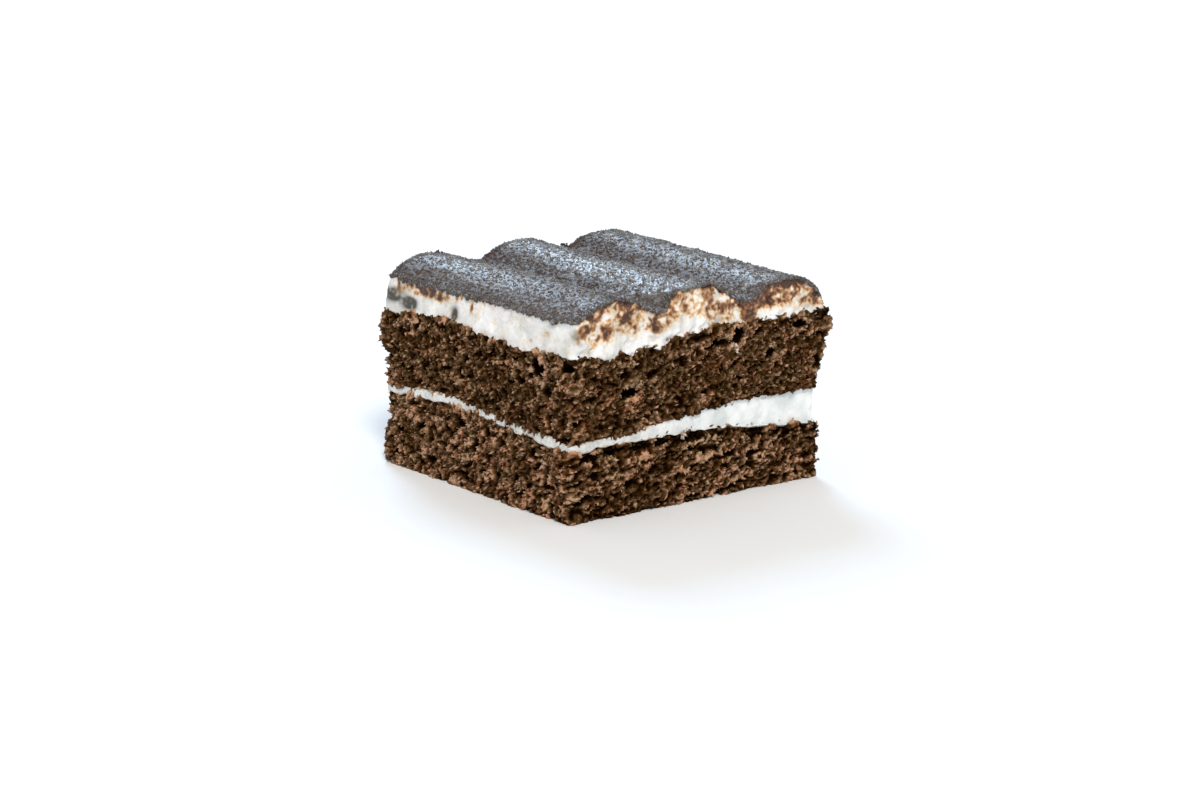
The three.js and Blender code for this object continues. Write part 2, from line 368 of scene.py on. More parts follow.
def crumb_relief(start, inset, shift, seed, rough, bubble, drag, pores=()):
    """Torn crumb over a sponge's rows, with each place's painted shade and tone and how red it is.

    Slow waves and the given shift move the faces, and the pores sink into them. The walls of burst
    bubbles are the higher of two nets of crests, one of the bubble's size and a finer one, broken by
    lumps, pits and flakes. All of it fades out on the hidden faces, and the fine part in the pores.
    """
    fade = rough * np.clip(1.25 - inset / RELIEF_REACH, 0, 1)
    hollow = pore_hollow(start, pores, seed + 10)
    p = pushed(start, fade * (SLOW_WAVE * soft_noise(start, SLOW_WAVE_SIZE, seed) + shift - hollow))

    in_pore = smooth_step(0.3, 1.5, hollow)
    fade = fade * (1 - 0.8 * in_pore)
    warp = np.stack([soft_noise(start, WARP_SIZE, seed + 20 + 3 * axis) for axis in range(3)], -1)
    stroke = stroke_places(start + WARP * warp, drag)
    walls = np.maximum(ridges(stroke, bubble, seed + 33), 0.85 * ridges(stroke, 0.72 * bubble, seed + 36))
    lumps = LUMP_RELIEF * soft_noise(stroke, 1.5 * bubble, seed + 30)
    pits = PIT_DEPTH * smooth_step(0.2, 0.6, soft_noise(stroke, 1.28 * bubble, seed + 45))
    p = pushed(p, fade * (WALL_RELIEF * (walls - 0.45) + lumps - pits))
    flakes = FLAKE_RELIEF * (ridges(stroke, 0.5 * bubble, seed + 48) - 0.4)
    p = pushed(p, fade * (flakes + GRIT_RELIEF * soft_noise(start, GRIT_SIZE, seed + 39)))

    # Painted shade: each place's height over its smoothed height paints pits dark and ridges light, on top
    # of a broad random tone, and the pores are painted darker still
    height = np.sum((p - start) * row_normals(start), axis=-1)
    patch = soft_noise(stroke, PATCH_SIZE, seed + 60)
    shade = 0.4 * soft_noise(stroke, SHADE_SIZE, seed + 66) + 0.35 * np.clip(patch, 0, 1) - 1.3 * in_pore
    tint = 0.45 + 0.5 * patch + 0.5 * soft_noise(start, 1.2, seed + 63)
    painted_shade_and_tone = height - softened(height, SHADE_PASSES) + shade
    return p, {"painted_shade_and_tone": painted_shade_and_tone, "tint": np.minimum(tint, MOST_RED)}


def loose_crumbs(name, p, weight, values, count, seed):
    """Crumbs that the knife dragged over rows of points, drawn by weight, most of them small."""
    draw = np.random.default_rng(seed)
    pick = draw.choice(weight.size, count, p=weight.ravel() / weight.sum())
    normal = row_normals(p).reshape(-1, 3)[pick]
    radius = LEAST_CRUMB + CRUMB_GROWTH * draw.random(count) ** 2
    level_way = np.stack([-normal[:, 1], normal[:, 0], np.full(count, np.tan(STROKE_SLANT))], -1)
    long_way = level_way + draw.normal(0, 0.45, (count, 3))
    shades = {"painted_shade_and_tone": values["painted_shade_and_tone"].ravel()[pick] + draw.normal(0, 0.25, count),
              "tint": values["tint"].ravel()[pick] + draw.normal(0, 0.15, count)}
    middle = p.reshape(-1, 3)[pick] + normal * draw.uniform(-0.1, 0.15, (count, 1))
    return grain_piece(name, middle, long_way, radius, CRUMB_SHAPE, shades, sponge_material, draw)


def ridge_weight(values, share):
    """The chance that a crumb stays on a sponge: it is caught on the ridges of the cut sides."""
    on_side = (share > 0.03) & (share < 0.97)
    return np.where(on_side, np.clip(values["painted_shade_and_tone"] + 0.4, 0.01, 1.0), 0)


def ribbon_wave(x, y):
    """How the thin filling bends along the left side: bells along y that fade out to the right."""
    total = 0
    for bend in RIBBON_BENDS:
        bell = bend["rise"] * np.exp(-(((y - bend["middle"]) / bend["reach"]) ** 2))
        total = total + bell * (1 - smooth_step(bend["start"], bend["end"], x))
    return total


def lower_bottom(x, y):
    """The flat underside of the cake."""
    return 0 * x


def lower_top(x, y):
    """The top of the lower sponge: its seam, the wave of the filling on it, and a ragged edge."""
    ragged = waves(np.stack([x, y, 0 * x], -1), LOWER_RAGGED_EDGE)
    return seam(x, **LOWER_SPONGE_TOP) + ribbon_wave(x, y) + ragged


def seam_undercut(p, share):
    """How much crumb is torn away under the filling: a bell just below the seam, broken up by noise.

    It fades out at the left side, where the filling is thin.
    """
    below_seam = (1 - share) * LOWER_SPONGE_HEIGHT
    bell = np.exp(-(((below_seam - UNDERCUT_BELOW) / UNDERCUT_REACH) ** 2))
    off_left_side = smooth_step(-40, -33, p[..., 0])
    return bell * off_left_side * np.clip(0.55 + 1.3 * soft_noise(p, 4, 150), 0, 1.4)


sponge_loop = edge_loop(SPONGE_STEP, SPONGE_CORNER)
sponge_material = chocolate_sponge()
lower_rows, lower_inset, lower_share = layer_rows(
    sponge_loop, lower_bottom, lower_top, SPONGE_RIM_INSETS, LOWER_SPONGE_ROWS, SPONGE_RIM_INSETS, upright)
undercut_and_shadow = seam_undercut(lower_rows, lower_share)
lower_points, lower_values = crumb_relief(
    lower_rows, lower_inset, -UNDERCUT_DEPTH * undercut_and_shadow, **LOWER_CRUMB)
lower_points[..., 2] = np.maximum(lower_points[..., 2], 0)
# Painted shade: the front and back are darker than the sides, with more contrast in the painted shade of
# the pits, and painted shadow darkens the undercut below the filling, and painted shade the top of the
# near corner. The front and back also have redder spots
front_share = np.abs(row_normals(lower_rows)[..., 1])
lower_shade = 0.1 - 0.17 * front_share - 0.9 * undercut_and_shadow + bells(lower_rows, LOWER_SHADES)
lower_values["painted_shade_and_tone"] = (1.1 + 0.25 * front_share) * lower_values["painted_shade_and_tone"] + lower_shade
lower_redness = 0.1 + 0.3 * front_share * soft_noise(lower_rows, 1.6, 180)
lower_values["tint"] = np.minimum(0.85 * lower_values["tint"] + lower_redness, MOST_RED)
lower_sponge = skin_piece("lower_sponge_crumb", lower_points, lower_values, sponge_material)
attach(lower_sponge, "root")
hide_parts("lower_sponge")
lower_crumbs = loose_crumbs(
    "lower_sponge_loose_crumbs", lower_points, ridge_weight(lower_values, lower_share), lower_values,
    LOWER_CRUMB_COUNT, seed=170)
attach(lower_crumbs, "root")

# Cream filling
# A wedge of smooth white cream spread over the lower sponge. It is a thin ribbon along the left and
# the near corner, and thick at the right, where it lies back under the upper sponge.
FILLING_TOP = dict(left=19.3, right=22.9, start=-32, end=18)
FILLING_SINK = dict(left=-0.1, right=0.8, start=-35, end=20)
FILLING_INSETS = np.array([0.5, 1.2, 3.0, 10.0, 34.0])
FILLING_STEP = 0.4
FILLING_CORNER = 0.5
FILLING_ROWS = 26
FILLING_WAVES = [(0.35, 5, 200), (0.2, 1.7, 203)]
FILLING_CRUMB_COUNT = 200
CREAM_GRAIN = 0.9
CREAM_PATCH = 6


def whipped_cream(name, hex_white, hex_dim, stops):
    """Whipped cream: soft white that lets light in a little, painted shade in broad patches, a light grain.

    The "stain" attribute, broken up by the grain, takes it through the given stops, and "smudge" turns
    it to a dark grey: damp cocoa seen through cream, and on the thin filling partly painted shade. The
    grain is coarser than real bubbles, to show.
    """
    material, surface = new_material(name)
    place = add_node(material, "ShaderNodeTexCoord").outputs["Object"]
    stain = add_node(material, "ShaderNodeAttribute", {"attribute_name": "stain"})
    smudge = add_node(material, "ShaderNodeAttribute", {"attribute_name": "smudge"})
    grain = add_node(material, "ShaderNodeTexNoise",
                     {"Scale": 1 / (CREAM_GRAIN * MM), "Detail": 3.0}, {"Vector": place})
    level = add_node(material, "ShaderNodeMath", {"operation": "MULTIPLY_ADD", 1: 0.7},
                     {0: grain.outputs["Fac"], 2: stain.outputs["Fac"]})
    stained = add_node(material, "ShaderNodeValToRGB", {}, {"Fac": level.outputs["Value"]},
                       [(0.42, hex_white), *stops])
    patches = add_node(material, "ShaderNodeTexNoise",
                       {"Scale": 1 / (CREAM_PATCH * MM), "Detail": 3.0}, {"Vector": place})
    dimness = add_node(material, "ShaderNodeValToRGB", {}, {"Fac": patches.outputs["Fac"]},
                       [(0.38, hex_dim), (0.6, "#ffffff")])
    dimmed = add_node(material, "ShaderNodeMix", {"data_type": "RGBA", "blend_type": "MULTIPLY", 0: 1.0},
                      {6: stained.outputs["Color"], 7: dimness.outputs["Color"]})
    smudged = add_node(material, "ShaderNodeMix", {"data_type": "RGBA", 7: linear("#4a463b")},
                       {0: smudge.outputs["Fac"], 6: dimmed.outputs[2]})
    bump = add_node(material, "ShaderNodeBump", {"Strength": 0.35, "Distance": 0.3 * MM},
                    {"Height": grain.outputs["Fac"]})
    shader = add_node(material, "ShaderNodeBsdfPrincipled",
                      {"Roughness": 0.5, "Subsurface Weight": 0.2, "Subsurface Scale": 1.0 * MM,
                       "Subsurface Radius": (1.0, 0.9, 0.75)},
                      {"Base Color": smudged.outputs[2], "Normal": bump.outputs["Normal"]})
    material.node_tree.links.new(shader.outputs["BSDF"], surface)
    return material


def filling_seam(x, y):
    """Where the filling meets the upper sponge: its own seam and the same wave."""
    return seam(x, **FILLING_TOP) + ribbon_wave(x, y)


def filling_bottom(x, y):
    """The underside of the filling, which sinks into the lower sponge where it is thick."""
    return lower_top(x, y) - seam(x, **FILLING_SINK)


def filling_top(x, y):
    """The upper side of the filling, which sinks into the upper sponge in the same way."""
    return filling_seam(x, y) + seam(x, **FILLING_SINK)


filling_rows, filling_inset, filling_share = layer_rows(
    edge_loop(FILLING_STEP, FILLING_CORNER), filling_bottom, filling_top, FILLING_INSETS, FILLING_ROWS,
    FILLING_INSETS, upright)
# The cream stands out on the left and lies back on the right
filling_x = filling_rows[..., 0]
stand_out = 0.35 - 1.55 * smooth_step(-37, 30, filling_x)
on_filling_side = filling_inset < 2
filling_points = pushed(filling_rows, (stand_out + waves(filling_rows, FILLING_WAVES)) * on_filling_side)
# Crumb is rubbed into its edges, and where it is thin it is greyed and stained, partly as dirt from the
# sponge and partly as painted shade
from_middle = np.abs(filling_share - 0.5)
rubbed = smooth_step(0.28, 0.5, from_middle) * np.clip(soft_noise(filling_rows, 1.6, 206), 0, 1)
thin = 1 - smooth_step(-30, 10, filling_x)
filling_values = {"stain": (0.35 + 0.35 * thin) * rubbed + 0.12 * thin,
                  "smudge": thin * np.clip(0.14 + 0.12 * soft_noise(filling_rows, 3, 209), 0, 1)}
filling_cream = whipped_cream("filling_cream", "#f4f6f5", "#e4e7e6",
                              [(0.62, "#e2d6c6"), (0.8, "#b59a7c"), (1.0, "#6b4c33")])
filling = skin_piece("cream_filling_wedge", filling_points, filling_values, filling_cream)
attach(filling, "root")
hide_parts("cream_filling")
filling_edge = smooth_step(0.15, 0.5, from_middle) * (filling_inset < 0.1)
filling_weight = filling_edge * smooth_step(-45, 20, filling_x)
filling_shades = {"painted_shade_and_tone": np.full(filling_weight.shape, 0.3), "tint": np.full(filling_weight.shape, 0.5)}
filling_crumbs = loose_crumbs("filling_loose_crumbs", filling_points, filling_weight, filling_shades,
                              FILLING_CRUMB_COUNT, seed=270)
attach(filling_crumbs, "root")

# Upper sponge
# A second slab of the same sponge, pressed onto the filling. It spreads towards its top edge, and
# larger pores open below the cream.
UPPER_SPONGE_TOP = dict(left=38.2, right=42.2, start=-34, end=10)
UPPER_SPONGE_ROWS = 68
UPPER_RAGGED_EDGE = [(0.65, 3.6, 310), (0.4, 1.7, 313)]
UPPER_CRUMB = dict(seed=300, rough=1.0, bubble=2.0, drag=1.7)
UPPER_CRUMB_COUNT = 12000
SPONGE_SPREAD = 1.4
SPREAD_CURVE = 1.5
LEFT_SWELL = 1.9
LEFT_SWELL_Y = 13
LEFT_SWELL_REACH = 16
CORNER_SWELL = ((-HALF_WIDTH, -HALF_DEPTH), (6, 11), 1.2)
CREAM_DRIPS = [
    ((-30.6, -35), (1.6, 3), -1.5),
    ((-26.5, -35), (1.6, 3), 0.9),
    ((-22.7, -35), (1.0, 3), -1.3),
    ((-15.6, -35), (1.4, 3), -1.0),
]
UPPER_PORES = [
    ((-41.5, -23.3, 35.0), (2.4, 3.0, 2.2)),
    ((-41.2, -33.4, 36.6), (2.0, 2.2, 1.4)),
    ((10.2, -36.4, 39.2), (2.6, 2.4, 2.3)),
    ((-23.3, -36.0, 29.3), (2.8, 2.2, 1.8)),
    ((30.4, -36.6, 39.9), (3.0, 2.0, 1.0)),
    ((21.7, -36.4, 33.7), (2.0, 2.0, 1.4)),
]
UPPER_SWELLS = [
    ((-40, 37, 32.5), (5, 5, 4), 1.4),
    ((-40, 37, 27.7), (3, 3, 1.3), -1.3),
    ((-40, 37, 24.2), (4, 4, 2.2), 1.3),
    ((-41, -34.5, 37.5), (3, 4, 4), -1.6),
    ((42, -35, 39.2), (4, 4, 3.0), 1.4),
    ((41, -35, 25.0), (4, 4, 2.0), -1.2),
]


def upper_top(x, y):
    """The seam under the ropes, with bell-shaped swells on the left and at the near corner.

    Its edge is ragged, and lower where cream has run down over the front.
    """
    left_share = 1 - smooth_step(UPPER_SPONGE_TOP["start"], UPPER_SPONGE_TOP["end"], x)
    swell = LEFT_SWELL * left_share * np.exp(-(((y - LEFT_SWELL_Y) / LEFT_SWELL_REACH) ** 2))
    corner_and_drips = bells(np.stack([x, y], -1), [CORNER_SWELL, *CREAM_DRIPS])
    ragged = waves(np.stack([x, y, 0 * x], -1), UPPER_RAGGED_EDGE)
    return seam(x, **UPPER_SPONGE_TOP) + swell + corner_and_drips + ragged


def upper_spread(share):
    """How far the sponge leans out: a power of the share of its height."""
    return SPONGE_SPREAD * share**SPREAD_CURVE


upper_rows, upper_inset, upper_share = layer_rows(
    sponge_loop, filling_seam, upper_top, SPONGE_RIM_INSETS, UPPER_SPONGE_ROWS, SPONGE_RIM_INSETS,
    upper_spread)
upper_points, upper_values = crumb_relief(
    upper_rows, upper_inset, bells(upper_rows, UPPER_SWELLS), pores=UPPER_PORES, **UPPER_CRUMB)
upper_sponge = skin_piece("upper_sponge_crumb", upper_points, upper_values, sponge_material)
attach(upper_sponge, "root")
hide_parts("upper_sponge")
upper_crumbs = loose_crumbs(
    "upper_sponge_loose_crumbs", upper_points, ridge_weight(upper_values, upper_share), upper_values,
    UPPER_CRUMB_COUNT, seed=370)
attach(upper_crumbs, "root")

# Wiped cream flecks
# Flecks of the filling that the knife wiped off onto the front of the two sponges. Each is a small
# heap of cream grains round the place on the crumb that is nearest to its spot.
FLECK_SPOTS = [(9.0, -36.5, 37.2), (9.3, -36.5, 35.8), (-5.6, -35.5, 15.8), (-4.8, -35.5, 16.3)]
FLECK_GRAINS = 12
FLECK_SPREAD = 0.28
FLECK_RADIUS = 0.27
FLECK_SHAPE = [1.4, 1.0, 0.8]
fleck_draw = np.random.default_rng(380)
sponge_points = np.concatenate([lower_points.reshape(-1, 3), upper_points.reshape(-1, 3)])
fleck_pick = [np.argmin(np.linalg.norm(sponge_points - spot, axis=1)) for spot in FLECK_SPOTS]
fleck_count = len(FLECK_SPOTS) * FLECK_GRAINS
fleck_middle = np.repeat(sponge_points[fleck_pick], FLECK_GRAINS, axis=0)
fleck_middle = fleck_middle + fleck_draw.normal(0, FLECK_SPREAD, (fleck_count, 3))
fleck_values = {"stain": fleck_draw.uniform(0.15, 0.4, fleck_count), "smudge": np.zeros(fleck_count)}
cream_flecks = grain_piece(
    "wiped_cream_flecks", fleck_middle, fleck_draw.normal(size=(fleck_count, 3)),
    np.full(fleck_count, FLECK_RADIUS), FLECK_SHAPE, fleck_values, filling_cream, fleck_draw)
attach(cream_flecks, "root")

# Cream topping
# Three ropes of white cream piped side by side. The knife left the left side flat, tore the rope ends
# at the front and back, and dragged cocoa down over them.
CREST = plan_high.z / MM
ROPE_PITCH = 28.6
ROPE_RISE = 5.6
ROPE_ROUNDNESS = 0.6
FURROW_ROUNDING = 0.03
ROPE_DRIFT = 3.2
MIDDLE_ROPE_X = 1.0
ROPE_LEAN = [((MIDDLE_ROPE_X, -HALF_DEPTH), (9, 14), 2.2)]
FLANK_START = 32
FLANK_DROP = 3.4
COCOA_THICKNESS = 0.5
LEAST_COCOA = 0.15
COCOA_RAGGED_EDGE = [(0.9, 2.4, 510), (0.8, 1.0, 513)]
TOPPING_STEP = 0.3
TOPPING_CORNER = 1.2
TOPPING_ROWS = 38
TOPPING_SPREAD = 1.0
TOPPING_SINK = 0.15
UNDER_COCOA = 0.7
TOPPING_INSETS = np.concatenate([[0.3, 0.6], np.arange(1, 35, 1.0)])
TOPPING_CRUMB_COUNT = 30
TORN_LUMPS = [(0.55, 2.4, 401), (0.25, 1.1, 407)]
COCOA_MOTTLE = [(0.6, 2.8, 420), (0.6, 1.5, 423), (0.45, 0.9, 440)]
WEDGE_X = 14.3
ROPE_RISES = [
    ((-36, -35), (9, 25), -1.1),
    ((-6, -35), (30, 10), 0.4),
    ((-13.0, -35), (1.1, 12), -0.9),
    ((-10.0, -35), (2.8, 12), 2.1),
    ((1.5, -35), (2.2, 12), 0.9),
    ((15.6, -35), (1.4, 12), -0.4),
    ((19.6, -35), (2.2, 12), 1.0),
    ((31, -35), (9, 25), -0.7),
    ((-35.5, 35), (3.5, 20), 0.8),
    ((-22, 35), (7, 30), -1.1),
    ((-8.5, 35), (5.5, 24), 1.7),
    ((20, 35), (5.5, 24), 2.2),
]
TOPPING_SWELLS = [
    ((-40, 37, 42.5), (5, 5, 4), 1.4),
    ((21.7, -35, 46.4), (1.2, 3, 1.1), -1.5),
]
SMUDGES = [
    ((-40, 32.9, 42.6), (3, 2.4, 1.3), 2.6),
    ((-40, 26.4, 41.5), (3, 2.5, 1.4), 2.4),
    ((-40, 29.6, 41.0), (3, 5.0, 1.4), 0.3),
    ((-40, 9.0, 41.7), (3, 1.1, 1.7), 1.8),
    ((-40.6, -35.6, 45.2), (1.2, 1.6, 0.9), 1.0),
    ((-40.0, -36, 43.9), (1.0, 2, 1.0), 1.0),
    ((-38.8, -36, 42.6), (0.7, 2, 0.7), 0.45),
]
TAN_MARKS = [
    ((-40, 14.5, 44.6), (3, 3.6, 1.0), 0.33),
    ((-40, 23.0, 44.6), (3, 4.0, 0.8), 0.3),
    ((-40, 2.6, 44.4), (3, 0.7, 1.7), 0.5),
    ((-40, -19.5, 40.6), (3, 1.3, 0.6), 0.16),
    ((-40, -25.1, 43.2), (3, 1.5, 0.6), 0.16),
    ((-40, -29.0, 42.5), (3, 1.2, 0.6), 0.16),
    ((-40.2, -36, 44.6), (1.6, 2, 1.4), 0.2),
    ((-33.4, -36, 43.2), (0.8, 3, 0.9), 0.35),
    ((-34.8, -36, 41.7), (0.8, 3, 0.9), 0.35),
    ((-36.2, -36, 40.2), (0.8, 3, 0.9), 0.3),
    ((21.7, -35, 46.4), (1.1, 3, 0.9), 0.8),
    ((-24.6, -35, 47.3), (1.6, 3, 1.5), 0.45),
    ((-31.1, -35, 44.0), (1.7, 3, 1.9), 0.42),
    ((-16.1, -35, 44.7), (1.2, 3, 1.9), 0.36),
    ((-5.9, -35, 47.7), (1.5, 3, 1.3), 0.2),
    ((4.8, -35, 46.8), (2.0, 3, 1.6), 0.2),
    ((28.9, -35, 50.2), (3.4, 3, 1.2), 0.4),
    ((36.4, -35, 47.8), (1.3, 3, 1.8), 0.4),
]


def rope_phase(x, y):
    """How many pitches a place lies from the middle rope's axis, which drifts sideways along its length.

    The middle rope's front end also leans to the left, as a bell over the plan.
    """
    lean = bells(np.stack([x, y], -1), ROPE_LEAN)
    return (x + lean - MIDDLE_ROPE_X - ROPE_DRIFT * y / (2 * HALF_DEPTH)) / ROPE_PITCH


def cocoa_top(x, y):
    """Humps as a power of the squared cosine of the rope phase, with a cubic fall at the right.

    A small amount added to the cosine rounds the furrows, and low bells over the plan make the rope
    ends as uneven as the piping left them.
    """
    hump = (np.cos(np.pi * rope_phase(x, y)) ** 2 + FURROW_ROUNDING) ** ROPE_ROUNDNESS
    flank = np.clip((x - FLANK_START) / (HALF_WIDTH - FLANK_START), 0, 1) ** 3
    uneven = bells(np.stack([x, y], -1), ROPE_RISES)
    return CREST - ROPE_RISE * (1 - np.minimum(hump, 1)) - FLANK_DROP * flank + uneven


def dust_edge(x, y):
    """The underside of the cocoa: its top less a ragged thickness that never falls below a least one.

    It hangs lower over the left edge and the right end of the front, and is thinner along the rest of
    the front.
    """
    front = smooth_step(-30, -35, y)
    ragged = waves(np.stack([x, y, 0 * x], -1), COCOA_RAGGED_EDGE) * (1 - 0.65 * front)
    hang = 0.3 * smooth_step(-36, -39, x) + 0.6 * front * smooth_step(30, 35, x)
    thinned = 0.3 * front * (1 - smooth_step(22, 28, x))
    return cocoa_top(x, y) - np.maximum(COCOA_THICKNESS + hang - thinned + ragged, LEAST_COCOA)


def topping_bottom(x, y):
    """The underside of the cream, sunk a little into the upper sponge."""
    return upper_top(x, y) - TOPPING_SINK


def topping_top(x, y):
    """The top of the cream: it meets the cocoa's edge at the rim and lies under its skin further in."""
    edge_gap = np.minimum(HALF_WIDTH - np.abs(x), HALF_DEPTH - np.abs(y))
    at_rim = np.maximum(cocoa_top(x, y) - COCOA_THICKNESS, dust_edge(x, y) + 0.05)
    return at_rim - UNDER_COCOA * smooth_step(0.1, 0.8, edge_gap)


def topping_spread(share):
    """How far the cream bulges at its foot: the square of the share of the height above."""
    return TOPPING_SPREAD * (1 - share) ** 2


def torn_relief(p, share):
    """The torn rope ends: lumps of two sizes, sharp crests, and wide creases near the foot."""
    torn = waves(p, TORN_LUMPS) + 0.5 * (ridges(p, 2.8, 404) - 0.4)
    creases = 0.7 * (0.3 - ridges(p * [0.6, 1, 1], 3.4, 416))
    return torn + creases * (1 - smooth_step(0.1, 0.5, share))


def rope_end_stain(p, share):
    """How much cocoa lies on the torn rope ends: patches, more towards the top, and a wedge in a furrow.

    The third rope has the most of it, and the right half of the second one has it further down.
    """
    x = p[..., 0]
    mottle = waves(p, COCOA_MOTTLE)
    third_rope = smooth_step(13, 19, x)
    second_rope = smooth_step(-14, -8, x) * (1 - third_rope)
    second_right = smooth_step(-4, 4, x) * (1 - smooth_step(11, 15, x))
    strength = 0.35 + 0.12 * third_rope - 0.03 * second_rope
    low = 0.2 - 0.35 * second_right - 0.1 * third_rope
    most = 0.6 - 0.11 * second_rope
    dragged = smooth_step(0, 0.4, share - low) * np.clip(strength + 0.45 * mottle, 0.02, most)
    top_rim = smooth_step(0.86, 1.0, share) * np.clip(0.65 + 0.7 * mottle, 0, 1)
    wobble = 0.6 * soft_noise(p, 1.6, 426)
    wedge = 1 - smooth_step(0.8, 1.2, np.abs(x - WEDGE_X + wobble) / (1.9 + 2.6 * share))
    return np.maximum(dragged + 0.42 * top_rim, (0.56 + 0.05 * mottle) * wedge)


def side_stain(p, share, top_edge):
    """How much cocoa lies on the flat sides: faint patches, specks near the top, a fringe at the back."""
    patches = 0.12 * np.clip(soft_noise(p, 3.2, 430), 0, 1)
    specks = 0.3 * smooth_step(0.55, 1, share) * np.clip(soft_noise(p, 1.8, 431), 0, 1)
    fringe = 0.7 * top_edge * np.clip(0.4 + soft_noise(p, 1.7, 433), 0, 1)
    return patches + specks + fringe + 0.03


topping_loop = edge_loop(TOPPING_STEP, TOPPING_CORNER)
topping_rows, topping_inset, topping_share = layer_rows(
    topping_loop, topping_bottom, topping_top, FILLING_INSETS, TOPPING_ROWS, TOPPING_INSETS, topping_spread)
# The cut sides wave a little, the rope ends are torn, and the cocoa smudges are pressed in
wall = topping_inset < 0.1
end_face = np.abs(topping_loop[1][:, 1]) ** 4 * wall
side_face = np.abs(topping_loop[1][:, 0]) ** 4 * wall
smudge = wall * np.clip(bells(topping_rows, SMUDGES), 0, 1)
flat_cut = 0.3 * soft_noise(topping_rows, 4, 410)
flat_cut = flat_cut + 0.18 * soft_noise(topping_rows * [1, 0.6, 1.4], 1.5, 413)
topping_shift = wall * (flat_cut + bells(topping_rows, TOPPING_SWELLS)) - 0.4 * smudge
topping_shift = topping_shift + end_face * torn_relief(topping_rows, topping_share)
topping_points = pushed(topping_rows, topping_shift)
# Cocoa on the rope ends, on the sides and in single marks, and a smudged top edge towards the back
top_edge = smooth_step(0.45, 0.9, topping_share) * smooth_step(-5, 22, topping_rows[..., 1])
stain = end_face * rope_end_stain(topping_rows, topping_share)
stain = stain + side_face * side_stain(topping_rows, topping_share, top_edge)
stain = stain + wall * bells(topping_rows, TAN_MARKS)
smudge = smudge * np.clip(1.1 + 0.6 * soft_noise(topping_rows, 1.1, 436), 0, 1)
smudge = smudge + 0.4 * side_face * top_edge * np.clip(soft_noise(topping_rows, 1.4, 442), 0, 1)
piped_cream = whipped_cream("piped_cream", "#f7f5f3", "#e3e3e0",
                            [(0.56, "#f0e0ca"), (0.68, "#dcb184"), (0.82, "#9a6841"), (0.96, "#50301e")])
topping = skin_piece("piped_cream_ropes", topping_points, {"stain": stain, "smudge": smudge}, piped_cream)
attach(topping, "root")
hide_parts("cream_topping")
topping_weight = end_face * (1 - smooth_step(0.02, 0.3, topping_share))
topping_shades = {"painted_shade_and_tone": np.full(topping_weight.shape, 0.6), "tint": np.full(topping_weight.shape, 0.5)}
topping_crumbs = loose_crumbs("topping_loose_crumbs", topping_points, topping_weight, topping_shades,
                              TOPPING_CRUMB_COUNT, seed=470)
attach(topping_crumbs, "root")

# Cocoa dusting
# Cocoa powder sifted over the ropes, which has drawn moisture from the cream and set to a dark, grained
# skin. It is glossier on the left shoulders of the ropes and painted paler there as painted sheen, brown
# and dull at their feet, and hangs a little over the cut edges.
DUST_STEP = 0.36
DUST_CORNER = 1.2
DUST_ROWS = 6
DUST_BULGE = 0.35
DUST_UNDER_INSETS = np.arange(0.5, 35, 2.3)
DUST_INSETS = np.concatenate([np.arange(0.15, 1.0, 0.2), np.arange(1.0, 34.8, 0.42)])
DUST_LUMPS = [(0.12, 1.8, 503), (0.22, 6, 506)]
COCOA_GRAIN = 1.05
LEAST_BLOOM_AND_SHEEN = -0.34
SHEEN_SHIFT = -4.3
SHEEN_REACH = 4.6
ROPE_BLOOM_AND_SHEEN = [0.33, 0.56, 0.36]
BLOOM_AND_SHEEN_PATCHES = [
    ((-33, 10), (5, 14), 0.14),
    ((-32, -26), (9, 12), -0.1),
    ((-5, 1), (5, 10), 0.2),
    ((-6, -33), (5, 6), 0.2),
    ((-8, 30), (6, 8), -0.15),
    ((20, 30), (5, 9), -0.12),
    ((5, 0), (3, 24), -0.14),
    ((18.5, 0), (2.5, 24), -0.16),
    ((-21, -4), (4.5, 30), 0.3),
    ((-11.5, -28), (4, 8), 0.35),
]
BROWN_SPOTS = [
    ((-10.5, 13), (1.2, 3), 0.45),
    ((-10, -6), (1.2, 3), 0.6),
    ((17.5, 17), (1.2, 4), 0.4),
    ((-38.6, 33.5), (1.2, 1.6), 0.8),
]


